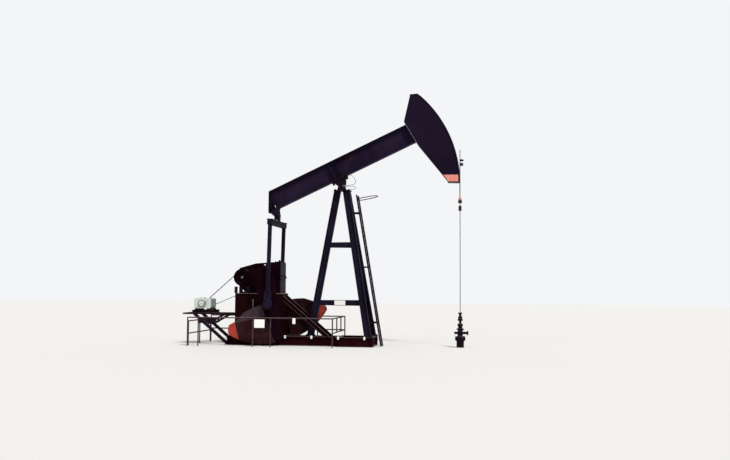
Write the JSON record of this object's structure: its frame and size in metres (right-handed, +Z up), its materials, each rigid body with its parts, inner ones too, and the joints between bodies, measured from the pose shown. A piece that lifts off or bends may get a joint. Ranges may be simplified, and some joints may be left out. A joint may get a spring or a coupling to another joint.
{
  "type": "pumpjack",
  "caption": "Beam pumping unit with horsehead, tripod post, counterweighted cranks, gearbox, belt drive, guard rail and wellhead.",
  "frame": {"origin": "on the ground straight below the saddle bearing, in the middle plane", "axes": "+X toward the well, +Y across the unit to the belt side, +Z up"},
  "size_m": [11.052, 2.828, 9.6914],
  "materials": {
    "black_paint": "weathered satin paint",
    "red_brown_paint": "faded satin paint",
    "rim_paint": "satin paint",
    "machined_steel": "turned and oiled",
    "grey_iron": "as cast, greasy",
    "wire_rope": "greased strands",
    "motor_enamel": "pale enamel",
    "belt_rubber": "matt",
    "rail_paint": "rusty paint"
  },
  "bodies": {
    "frame": {"base_rear": "black_paint", "base_front": "black_paint", "pedestal": "red_brown_paint", "gearbox_case": "black_paint", "gearbox_cover": "red_brown_paint", "saddle_stand": "black_paint", "post_rear_leg": "black_paint", "post_front_leg_near": "black_paint", "post_front_leg_far": "black_paint", "post_ties": "black_paint", "ladder": "rail_paint", "ladder_hoop": "rail_paint", "strut_near": "black_paint", "strut_far": "black_paint", "motor_stand": "black_paint", "motor_slide": "black_paint", "motor": "motor_enamel", "belt": "belt_rubber", "guard_near": "rail_paint", "guard_far": "rail_paint", "guard_rear_end": "rail_paint", "guard_front_end": "rail_paint", "casing_head": "black_paint", "valve_wheel": "black_paint", "stuffing_box": "black_paint"},
    "cranks": {"crankshaft": "machined_steel", "crank_near": "black_paint", "crank_far": "black_paint", "weight_near": "red_brown_paint", "weight_far": "red_brown_paint"},
    "beam": {"walking_beam": "red_brown_paint", "saddle_bearing": "black_paint", "tail_bracket": "black_paint", "horsehead_side_near": "black_paint", "horsehead_side_far": "black_paint", "horsehead_rim": "rim_paint", "head_wires": "wire_rope"},
    "pitmans": {"equaliser": "black_paint", "pitman_near": "black_paint", "pitman_far": "black_paint"},
    "rod_string": {"polished_rod": "machined_steel", "carrier_bar": "grey_iron", "hanger_wires": "wire_rope"},
    "input_drive": {"input_shaft": "machined_steel", "gearbox_sheave": "grey_iron", "brake_drum": "grey_iron"},
    "motor_rotor": {"motor_sheave": "grey_iron"}
  },
  "joints": [
    {"name": "crank_turn", "type": "hinge", "parent": "frame", "child": "cranks", "pos_m": [-2.913, 0, 2.6], "axis": [0, -1, 0], "range_deg": [0, 162.14]},
    {"name": "beam_rock", "type": "hinge", "parent": "frame", "child": "beam", "pos_m": [0, 0, 6.23], "axis": [0, 1, 0], "range_deg": [0, 43.49]},
    {"name": "pitman_swing", "type": "hinge", "parent": "beam", "child": "pitmans", "pos_m": [-2.56066, 0, 5.02505], "axis": [0, -1, 0], "range_deg": [0, 41.89]},
    {"name": "rod_lift", "type": "slide", "parent": "frame", "child": "rod_string", "axis": [0, 0, -1], "range_m": [0, 3.46994], "deforming": ["hanger_wires"]},
    {"name": "input_turn", "type": "hinge", "parent": "frame", "child": "input_drive", "pos_m": [-3.8, 0, 2.6], "axis": [0, -1, 0], "continuous": true},
    {"name": "motor_turn", "type": "hinge", "parent": "frame", "child": "motor_rotor", "pos_m": [-5.43, 0, 1.58], "axis": [0, -1, 0], "continuous": true}
  ],
  "couplings": [
    {"joint": "beam_rock", "follows": "crank_turn", "ratio": 0.2682},
    {"joint": "pitman_swing", "follows": "crank_turn", "ratio": 0.25833},
    {"joint": "rod_lift", "follows": "crank_turn", "m_per_rad": 1.2262},
    {"joint": "input_turn", "follows": "crank_turn", "ratio": 28.67},
    {"joint": "motor_turn", "follows": "crank_turn", "ratio": 96.629}
  ]
}
